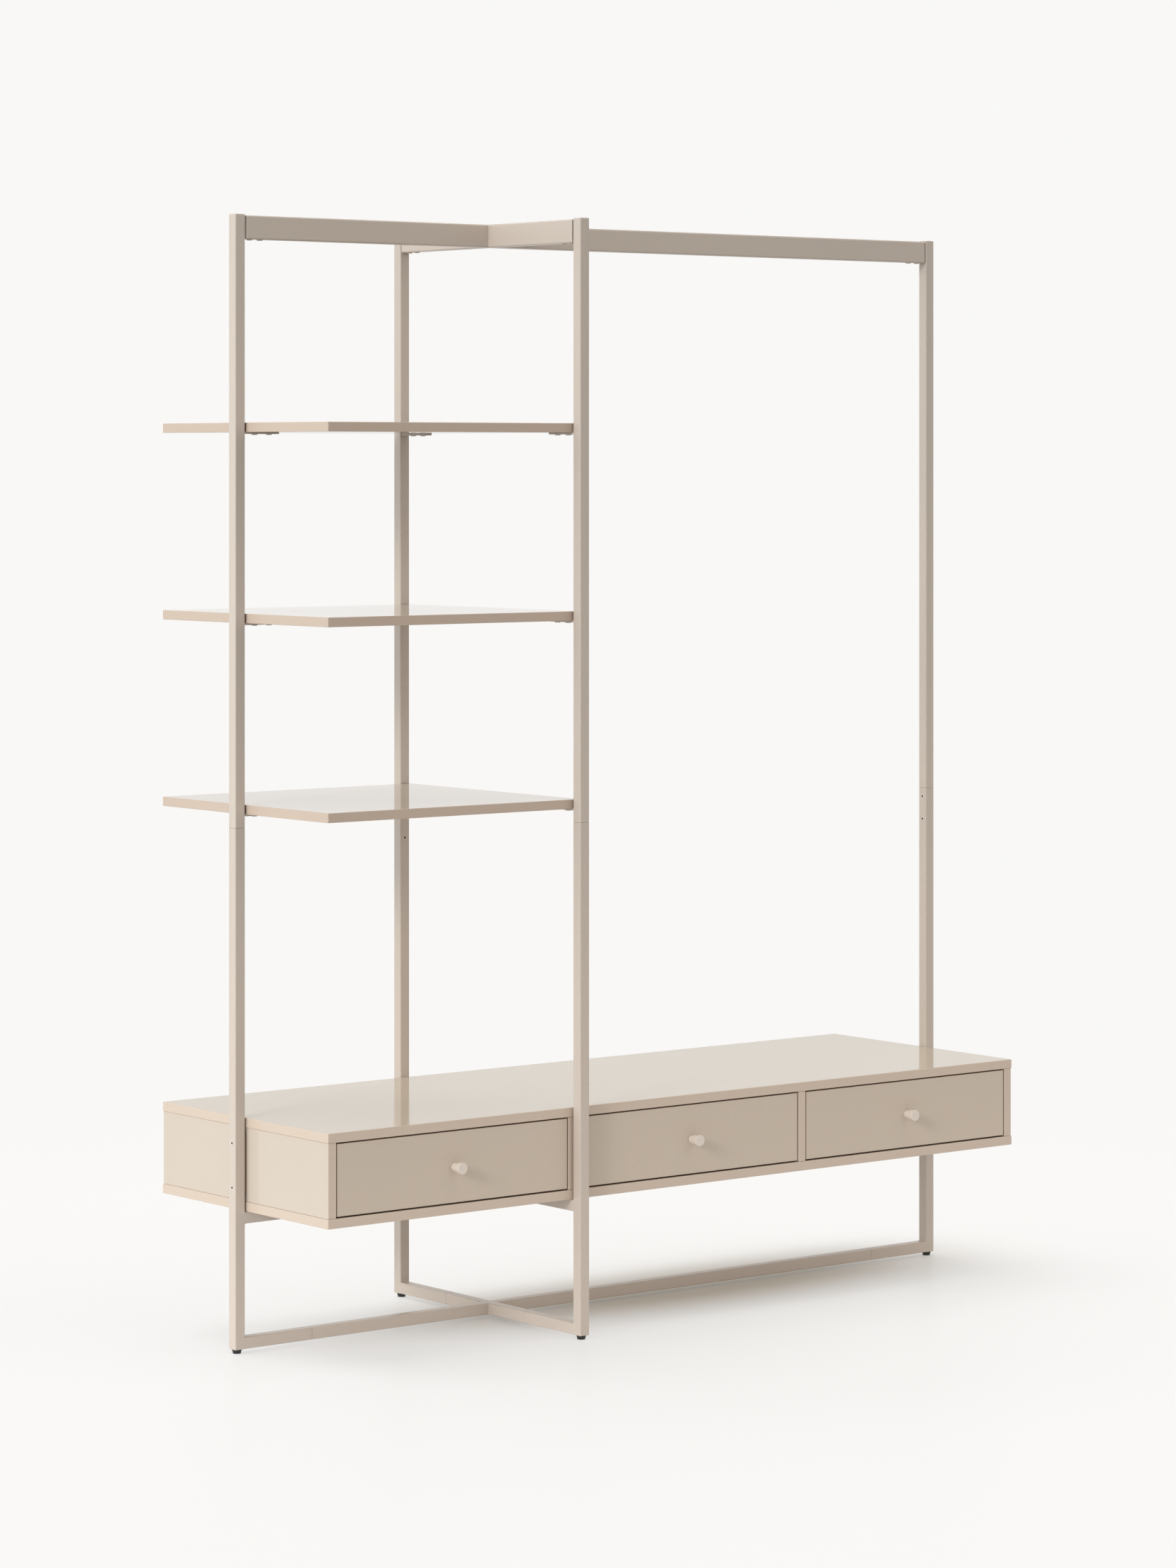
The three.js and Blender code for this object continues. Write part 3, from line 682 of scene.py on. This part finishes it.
class WARDROBE_OT_stage(Operator):
    """Makes the floor, the light from all round, the soft lights and the camera"""

    bl_idname = "wardrobe.stage"
    bl_label = "Stage"

    def execute(self, context):
        studio = context.scene.wardrobe_studio
        self.floor(studio)
        self.surroundings(context.scene, studio)
        self.key_light(studio)
        lights = {name: self.far_light(studio, name) for name in FAR_LIGHTS}
        self.light_only(lights["floor"], [context.scene.objects["floor"]])
        self.light_only(lights["front"], self.pieces())
        camera = linked("camera", bpy.data.cameras.new("camera"))
        camera.location = studio.camera
        camera.rotation_euler = (math.pi / 2, 0.0, -studio.turn)
        camera.data.lens = studio.lens
        camera.data.sensor_width = studio.sensor
        camera.data.shift_y = studio.shift
        camera.data.clip_end = 100.0
        context.scene.camera = camera
        context.scene.view_settings.view_transform = "Standard"
        return {"FINISHED"}

    def floor(self, studio):
        """A disc that fades into the surroundings at its rim: points are r (cos a, sin a)."""
        radii = np.linspace(0.0, studio.floor_radius, FLOOR_RINGS)[1:]
        rings = turned_rings([(radius, 0.0) for radius in radii], np.zeros(3), "z", FLOOR_SIDES)
        points = rings.reshape(-1, 3)
        index = np.arange(len(points)).reshape(len(radii), FLOOR_SIDES)
        inner, outer = index[:-1], index[1:]
        quads = np.stack([inner, outer, np.roll(outer, -1, 1), np.roll(inner, -1, 1)], -1)
        floor = mesh_piece("floor", points, quads.reshape(-1, 4).tolist() + [index[0].tolist()])
        finish, place = new_material("pale_floor")
        grain = finish.noise(place, 300.0)
        # Painted shade: 0 in the ellipse under the cabinet, where the floor is tinted warm, rising to 1
        # outside it.
        painted_shade_mask = finish.reach(finish.moved(place, CORE_SCALE, CORE_MOVE)).step(*CORE_FADE)
        base = finish.blend(grain, tinted(studio.floor, 0.995), tinted(studio.floor, 1.005))
        base = finish.blend(painted_shade_mask, tinted(studio.painted_warm_shade), base)
        matt = {"Base Color": base, "Roughness": 0.3, "Specular IOR Level": 0.02}
        lit = finish.node("ShaderNodeBsdfPrincipled", matt, "BSDF")
        glow = finish.node("ShaderNodeEmission", {"Color": tinted(studio.backdrop)})
        # Painted light: outside the ellipse the floor partly glows in the backdrop's colour.
        lit = finish.node("ShaderNodeMixShader", {0: painted_shade_mask * studio.glow, 1: lit, 2: glow})
        clear = finish.node("ShaderNodeBsdfTransparent")
        fade = finish.reach(place).step(*(studio.floor_radius * part for part in FLOOR_FADE))
        mixed = finish.node("ShaderNodeMixShader", {0: fade, 1: lit, 2: clear})
        finish.node_output(mixed)
        floor.data.materials.append(finish.owner)

    def surroundings(self, scene, studio):
        """The surroundings: the plain backdrop for the camera and for gloss, and a dome that fills.

        The dome's brightness is fill * (1 - height), times 1 + lean * how far back left it lies.
        """
        scene.world = bpy.data.worlds.new("studio")
        finish = Finish(scene.world)
        ray = finish.node("ShaderNodeLightPath", output="Is Camera Ray")
        seen = ray.larger(finish.node("ShaderNodeLightPath", output="Is Glossy Ray"))
        way = finish.node("ShaderNodeTexCoord", output="Generated")
        height = finish.node("ShaderNodeSeparateXYZ", {"Vector": way}, "Z")
        back_left = finish.node("ShaderNodeVectorMath", {0: way, 1: BACK_LEFT}, "Value",
                                operation="DOT_PRODUCT")
        dome = studio.fill * (1 - height.larger(0.0)) * (1 + studio.lean * back_left)
        above = height.step(-0.03, 0.03)
        strength = above * dome + (1 - above) * studio.low_fill
        tint = finish.blend(back_left.step(-0.9, 0.6), tinted(studio.warm), tinted(studio.cool))
        backdrop = finish.node("ShaderNodeBackground", {"Color": tinted(studio.backdrop)})
        fill = finish.node("ShaderNodeBackground", {"Color": tint, "Strength": strength})
        mixed = finish.node("ShaderNodeMixShader", {0: seen, 1: fill, 2: backdrop})
        finish.node_output(mixed, "ShaderNodeOutputWorld")

    def key_light(self, studio):
        """A tall soft box near the left end, on the wardrobe alone, so that the floor stays even.

        Gloss doesn't mirror it, so that the boards' tops don't turn white when seen from the right.
        """
        light = self.light("key_light", "AREA", studio.key, KEY_TINT)
        light.data.shape = "RECTANGLE"
        light.data.size, light.data.size_y = studio.key_width, studio.key_height
        light.location = studio.key_place
        aim = Vector(KEY_AIM) - light.location
        light.rotation_euler = aim.to_track_quat("-Z", "Y").to_euler()
        light.visible_glossy = False
        self.light_only(light, self.pieces())

    def light(self, name, kind, energy, tint):
        """A new light of a kind, linked to the scene."""
        data = bpy.data.lights.new(name, kind)
        data.energy = energy
        data.color = tint
        return linked(name, data)

    def pieces(self):
        """Everything but the floor."""
        return [piece for piece in bpy.context.scene.objects
                if piece.type == "MESH" and piece.name != "floor"]

    def light_only(self, light, pieces):
        """Lets a light reach only these pieces; everything still blocks it."""
        lit = bpy.data.collections.new(f"lit_by_{light.name}")
        for piece in pieces:
            lit.objects.link(piece)
        light.light_linking.receiver_collection = lit

    def far_light(self, studio, name):
        """A broad far light that shines from its direction with the same strength everywhere."""
        (x, y, z), tint = FAR_LIGHTS[name]
        strength = getattr(studio, f"{name}_light")
        light = self.light(f"{name}_light", "SUN", strength * math.pi, tint)
        light.data.angle = getattr(studio, f"{name}_spread")
        light.rotation_euler = (math.atan2(math.hypot(x, y), z), 0.0, math.atan2(x, -y))
        return light


class WARDROBE_OT_frame(Operator):
    """Dresses the leg frames, the upper posts, the floor cross and the top cross"""

    bl_idname = "wardrobe.frame"
    bl_label = "Frame"

    def execute(self, context):
        steel = context.scene.wardrobe_steel
        seam = context.scene.wardrobe_screws.seam
        for side in SIDES:
            node = f"leg_frame_{side}"
            finish_steel(packed_shape(node), ("coat",), node)
            node = f"upper_post_{side}"
            finish_steel(self.upper_post(node, steel, seam), ("coat",), node)
        for node in ("floor_cross", "top_cross"):
            finish_steel(packed_shape(node), ("coat",), node)
        return {"FINISHED"}

    def upper_post(self, node, steel, seam):
        """A closed bar from the seam to the round top, with its spigot below the seam."""
        low, high = corners(node)
        shells = Shells().add(bar_rings((low[0], low[1], seam), high, "z",
                                        steel.tube_corner, steel.end_round, steel.top_round))
        inset = steel.wall + steel.slack
        shells.add(bar_rings((low[0] + inset, low[1] + inset, low[2]),
                             (high[0] - inset, high[1] - inset, seam + SPIGOT_REACH), "z",
                             SPIGOT_CORNER, steel.end_round, steel.end_round, *SMALL_STEPS))
        return shells.piece(f"{node}_coat")


class WARDROBE_OT_brackets(Operator):
    """Dresses the shelf brackets and the beam brackets as bent strips"""

    bl_idname = "wardrobe.brackets"
    bl_label = "Brackets"

    def execute(self, context):
        steel = context.scene.wardrobe_steel
        for node in nodes_named("shelf_bracket_", "beam_bracket_"):
            finish_steel(self.bracket(node, steel), ("coat", "plate_shade"), node)
        return {"FINISHED"}

    def bracket(self, node, steel):
        """A strip down the post's face, round a bend and out along its leg.

        The leg of a shelf bracket lies at its foot. That of a beam bracket is a tongue inside the beam,
        which leaves the middle of the plate.
        """
        low, high, place, turn = own_box(node)
        width = high[1] - low[1]
        thick = steel.strip
        half = thick / 2
        edge = steel.strip_edge
        shells = Shells()
        if node.startswith("beam"):
            plate = bar_rings((0.0, -width / 2, low[2]), (thick, width / 2, high[2]), "x",
                              PLATE_CORNER, edge, edge, *SMALL_STEPS)
            rise = low[2] + steel.wall
            leg = bar_rings((half, -width / 2 + edge, rise),
                            (high[0], width / 2 - edge, rise + thick), "x",
                            edge, TONGUE_END, edge, *SMALL_STEPS)
            shells.add(placed(plate, turn, place)).add(placed(leg, turn, place))
        else:
            bend = steel.bend + half
            arc = arc_points((half + bend, low[2] + half + bend), bend, 180, 270, 6)
            path = np.concatenate([
                [[half, high[2]], [half, high[2] - edge]], arc,
                [[high[0] - edge, low[2] + half], [high[0], low[2] + half]],
            ])
            # Painted shade: the bands down the post's face take the dark plate material.
            plate_bands = np.arange(len(path) - 1) < 2
            shells.add(placed(strip_rings(path, width, thick, edge), turn, place), plate_bands)
        return shells.piece(f"{node}_coat")


class WARDROBE_OT_feet(Operator):
    """Dresses the levelling feet"""

    bl_idname = "wardrobe.feet"
    bl_label = "Levelling feet"

    def execute(self, context):
        for side in SIDES:
            node = f"levelling_foot_{side}"
            rings = turned_rings(self.profile(corners(node)[1][2]), middle(node) * [1, 1, 0], "z")
            shells = Shells().add(rings)
            finish_piece(shells.piece(f"{node}_body"), ("foot",), "foot_plastic", f"foot_{side}", node)
        return {"FINISHED"}

    def profile(self, top):
        """A tapered glide with a round rim, a waist over its sole and a threaded stem."""
        sole, rim = (arc_points((radius, height), curve, start, start + 90, 5)
                     for (radius, height, curve), start in ((FOOT_SOLE, -90), (FOOT_RIM, 0)))
        turns = np.arange(THREAD_START * MM, top - THREAD_PITCH * MM, THREAD_PITCH * MM) / MM
        thread = np.stack([
            np.tile(THREAD_RADII, len(turns)), np.stack([turns, turns + THREAD_RISE], -1).reshape(-1),
        ], -1)
        stem = [[FOOT_STEM, top / MM], [AXIS, top / MM]]
        return from_mm(np.concatenate([[[AXIS, 0.0]], sole, FOOT_GROOVE, rim, thread, stem]))


class WARDROBE_OT_boards(Operator):
    """Dresses the shelves and the cabinet's boards with faces and edging"""

    bl_idname = "wardrobe.boards"
    bl_label = "Boards"

    def execute(self, context):
        sizes = context.scene.wardrobe_boards
        for node in nodes_named("shelf_1", "shelf_2", "shelf_3", "cabinet_"):
            if not node.startswith("cabinet_spacer"):
                # Painted shade: the shelves take the darker copy of the edging.
                finishes = ("shelf", "shelf_edging") if node.startswith("shelf") else ("face", "edging")
                # Painted light: the cabinet's top takes the yellower lit copy of the board face.
                if node == "cabinet_top":
                    finishes = ("top_face", "edging")
                piece = board_piece(node, sizes.arris)
                finish_piece(piece, finishes, "board_melamine", ROOT_BODY, node)
        for end in ENDS:
            repainted(f"cabinet_spacer_{end}", "spacer")
        return {"FINISHED"}


def board_piece(node, arris):
    """A board with round arrises: its broad faces take the first material, its edges the second."""
    low, high = corners(node)
    thin = int(np.argmin(high - low))
    rings = bar_rings(low, high, "xyz"[thin], arris * BOARD_CORNER, arris, arris, 4, 4)
    piece = Shells().add(rings).piece(f"{node}_board")
    polygons = piece.data.polygons
    normals = np.empty(len(polygons) * 3)
    polygons.foreach_get("normal", normals)
    broad = np.abs(normals.reshape(-1, 3)[:, thin]) > BROAD
    polygons.foreach_set("material_index", np.where(broad, 0, 1).astype(np.int32))
    return piece


class WARDROBE_OT_drawers(Operator):
    """Dresses the drawers: front, tray and turned knob"""

    bl_idname = "wardrobe.drawers"
    bl_label = "Drawers"

    def execute(self, context):
        sizes = context.scene.wardrobe_boards
        for bay in BAYS:
            body = f"drawer_{bay}"
            node = f"drawer_front_{bay}"
            front = board_piece(node, sizes.arris)
            finish_piece(front, ("drawer", "edging"), "drawer_front_melamine", body, node)
            node = f"drawer_box_{bay}"
            finish_piece(self.tray(node, sizes), ("tray", "edging"), "drawer_box_board", body, node)
            node = f"drawer_knob_{bay}"
            finish_piece(self.knob(node), ("knob",), "knob_coat", body, node)
        return {"FINISHED"}

    def tray(self, node, sizes):
        """Four boards and a bottom: the sides run through, and the front and back lie between them."""
        low, high = corners(node)
        wall, rise = sizes.tray_wall, sizes.tray_rise
        shells = Shells()
        edge = (*TRAY_EDGES, *SMALL_STEPS)
        for x0, x1 in ((low[0], low[0] + wall), (high[0] - wall, high[0])):
            shells.add(bar_rings((x0, *low[1:]), (x1, *high[1:]), "y", *edge))
        for y0, y1 in ((low[1], low[1] + wall), (high[1] - wall, high[1])):
            shells.add(bar_rings((low[0] + wall, y0, low[2]), (high[0] - wall, y1, high[2]),
                                 "x", *edge))
        shells.add(bar_rings(low + [wall, wall, rise],
                             (high[0] - wall, high[1] - wall, low[2] + rise + sizes.tray_bottom),
                             "x", *BOTTOM_EDGES, 2, 1))
        return shells.piece(f"{node}_boards")

    def knob(self, node):
        """A cone that widens to its face, turned about Y: chamfered base, round rim, dished face."""
        low, high = corners(node)
        rim = arc_points(KNOB_RIM[:2], KNOB_RIM[2], 0, -90, 6)
        profile = np.concatenate([
            from_mm(KNOB_BASE, high[1]), from_mm(rim, low[1]), from_mm(KNOB_DISH, low[1]),
        ])
        rings = turned_rings(profile[::-1], middle(node) * [1, 0, 1], "y", 64)
        return Shells().add(rings).piece(f"{node}_turning")


class WARDROBE_OT_runners(Operator):
    """Gives the drawer runners their plating and their screws"""

    bl_idname = "wardrobe.runners"
    bl_label = "Runners"

    def execute(self, context):
        screws = context.scene.wardrobe_screws
        for bay in BAYS:
            for end in ENDS:
                inwards = 1 if end == "left" else -1
                self.channel(screws, f"runner_{bay}_{end}", ROOT_BODY, inwards, screws.runner_first)
                self.channel(screws, f"drawer_rail_{bay}_{end}", f"drawer_{bay}", -inwards,
                             screws.rail_first)
        return {"FINISHED"}

    def channel(self, screws, node, body, way, first):
        """Plates a channel and puts screws on its web; way points to its open side."""
        repainted(node, "zinc")
        low, high = corners(node)
        web = low[0] + screws.web if way > 0 else high[0] - screws.web
        height = (low[2] + high[2]) / 2
        last = high[1] - low[1] - screws.rail_first
        shells = Shells()
        for along in (first, (first + last) / 2, last):
            pan_head(shells, screws.runner_radius, screws.runner_height, screws.runner_socket,
                     (web, low[1] + along, height), (way, 0.0, 0.0))
        piece = shells.piece(f"{node}_screws", SCREW_SMOOTH)
        finish_piece(piece, ("zinc", "socket"), "runner_steel", body)


def screw_head(shells, profile, socket, floor, centre, outwards, rim=0):
    """Turns a head about the way it faces: its outside as given, then a hex socket down to its floor.

    A point is centre + r (cos a, sin a) across that way and its height along it. In the socket r is
    the reach of a hexagon, which is cos 30 / cos b for the angle b from the middle of its nearest side.
    The socket takes the second material, and the bands below the rim's number the third.
    """
    angle = np.arange(24) / 24 * 2 * math.pi
    half_side = math.pi / 6
    hexagon = socket * math.cos(half_side) / np.cos((angle + half_side) % (2 * half_side) - half_side)
    circle = on_circle(angle)
    profile = np.asarray(profile, float)
    inside = np.array([[1.0, profile[-1, 1] - SOCKET_BEVEL], [1.0, floor], [SOCKET_HUB, floor]])
    sections = np.concatenate([
        profile[:, 0, None, None] * circle, inside[:, 0, None, None] * circle * hexagon[:, None],
    ])
    rings = to_axis(sections, np.concatenate([profile[:, 1], inside[:, 1]]), "z")
    facing = np.array(Vector(outwards).to_track_quat("Z", "Y").to_matrix())
    band = np.arange(len(rings) - 1)
    kinds = np.where(band >= len(profile) - 1, 1, np.where((band > 0) & (band < rim), 2, 0))
    shells.add(rings @ facing.T + np.asarray(centre, float), kinds)


def pan_head(shells, radius, height, socket, centre, outwards):
    """A domed head: its radius falls by t^p to the socket and its height rises by 1 - (1 - t)^p."""
    t = np.linspace(0.0, 1.0, 7)
    reach = radius - (radius - socket * SOCKET_LIP) * t ** DOME_POWER
    rise = height * (1 - (1 - t) ** DOME_POWER) + SOCKET_BEVEL
    profile = np.concatenate([[[AXIS * MM, 0.0], [radius, 0.0]], np.stack([reach, rise], -1)])
    screw_head(shells, profile, socket, PAN_FLOOR, centre, outwards)


def flat_head(shells, screws, centre, outwards):
    """A countersunk head whose rim lies just below the tube's face."""
    radius = screws.flat_radius / MM
    lip = screws.socket / MM * SOCKET_LIP
    radii = (AXIS, FLAT_BACK, radius, radius - FLAT_RIM, lip)
    profile = from_mm(np.stack([radii, FLAT_DEPTHS], -1))
    screw_head(shells, profile, screws.socket, FLAT_FLOOR, centre, outwards, 3)


class WARDROBE_OT_screws(Operator):
    """Makes the screws of the frame, the cabinet and the knobs"""

    bl_idname = "wardrobe.screws"
    bl_label = "Screws"

    def execute(self, context):
        screws = context.scene.wardrobe_screws
        for side in SIDES:
            self.post_row(screws, side)
            self.bracket_row(screws, f"beam_bracket_{side}", screws.beam_row)
        for node in nodes_named("shelf_bracket_"):
            self.bracket_row(screws, node, screws.shelf_row)
        for bay in BAYS:
            self.knob_screw(context.scene.wardrobe_boards, screws, bay)
        return {"FINISHED"}

    def post_row(self, screws, side):
        """The two heads below the seam of a post, and at the ends the two that hold the cabinet."""
        place, turn = post_place(side)
        inwards = heading(turn)
        shells = Shells()
        for drop in screws.seam_drops:
            flat_head(shells, screws, place + [0.0, 0.0, screws.seam - drop], inwards)
        if side in ENDS:
            low, high = corners(f"upper_post_{side}")
            outer = place - inwards * (high[0] - low[0])
            low, high = corners(f"cabinet_spacer_{side}")
            for spread in (-screws.cabinet_spread, screws.cabinet_spread):
                z = (low[2] + high[2] + spread) / 2
                flat_head(shells, screws, outer + [0.0, 0.0, z], -inwards)
        piece = shells.piece(f"post_screws_{side}", SCREW_SMOOTH)
        finish_steel(piece, ("screw", "socket", "rim"))

    def bracket_row(self, screws, node, distances):
        """Domed heads under a bracket's leg or under the beam, at these distances from the post."""
        low, high, place, turn = own_box(node)
        shells = Shells()
        for distance in distances:
            centre = place + heading(turn) * distance + [0.0, 0.0, low[2]]
            pan_head(shells, screws.pan_radius, screws.pan_height, screws.socket, centre,
                     (0.0, 0.0, -1.0))
        finish_steel(shells.piece(f"{node}_screws", SCREW_SMOOTH), ("coat", "socket"))

    def knob_screw(self, boards, screws, bay):
        """The head inside the tray of the screw that holds the knob."""
        centre = middle(f"drawer_knob_{bay}")
        centre[1] = corners(f"drawer_box_{bay}")[0][1] + boards.tray_wall
        shells = Shells()
        pan_head(shells, screws.knob_radius, screws.pan_height, screws.runner_socket, centre,
                 (0.0, 1.0, 0.0))
        piece = shells.piece(f"drawer_knob_{bay}_screw", SCREW_SMOOTH)
        finish_piece(piece, ("zinc", "socket"), "runner_steel", f"drawer_{bay}")


class WARDROBE_PT_panel(Panel):
    """Lists the steps that dress the wardrobe"""

    bl_label = "Wardrobe"
    bl_space_type = "VIEW_3D"
    bl_region_type = "UI"
    bl_category = "Wardrobe"

    def draw(self, context):
        for operator in OPERATORS:
            self.layout.operator(operator.bl_idname)


OPERATORS = (
    WARDROBE_OT_frame, WARDROBE_OT_brackets, WARDROBE_OT_feet, WARDROBE_OT_boards,
    WARDROBE_OT_drawers, WARDROBE_OT_runners, WARDROBE_OT_screws, WARDROBE_OT_stage,
)
GROUPS = {
    "wardrobe_steel": SteelSizes,
    "wardrobe_boards": BoardSizes,
    "wardrobe_screws": ScrewSizes,
    "wardrobe_finishes": Finishes,
    "wardrobe_studio": Studio,
}
CLASSES = (*GROUPS.values(), *OPERATORS, WARDROBE_PT_panel)


def register():
    for item in CLASSES:
        bpy.utils.register_class(item)
    for name, group in GROUPS.items():
        setattr(bpy.types.Scene, name, PointerProperty(type=group))


def unregister():
    for name in GROUPS:
        delattr(bpy.types.Scene, name)
    for item in reversed(CLASSES):
        bpy.utils.unregister_class(item)


def main():
    register()
    make_materials(bpy.context.scene.wardrobe_finishes)
    for operator in OPERATORS:
        group, name = operator.bl_idname.split(".")
        getattr(getattr(bpy.ops, group), name)()
    bpy.context.view_layer.update()


if __name__ == "__main__":
    main()
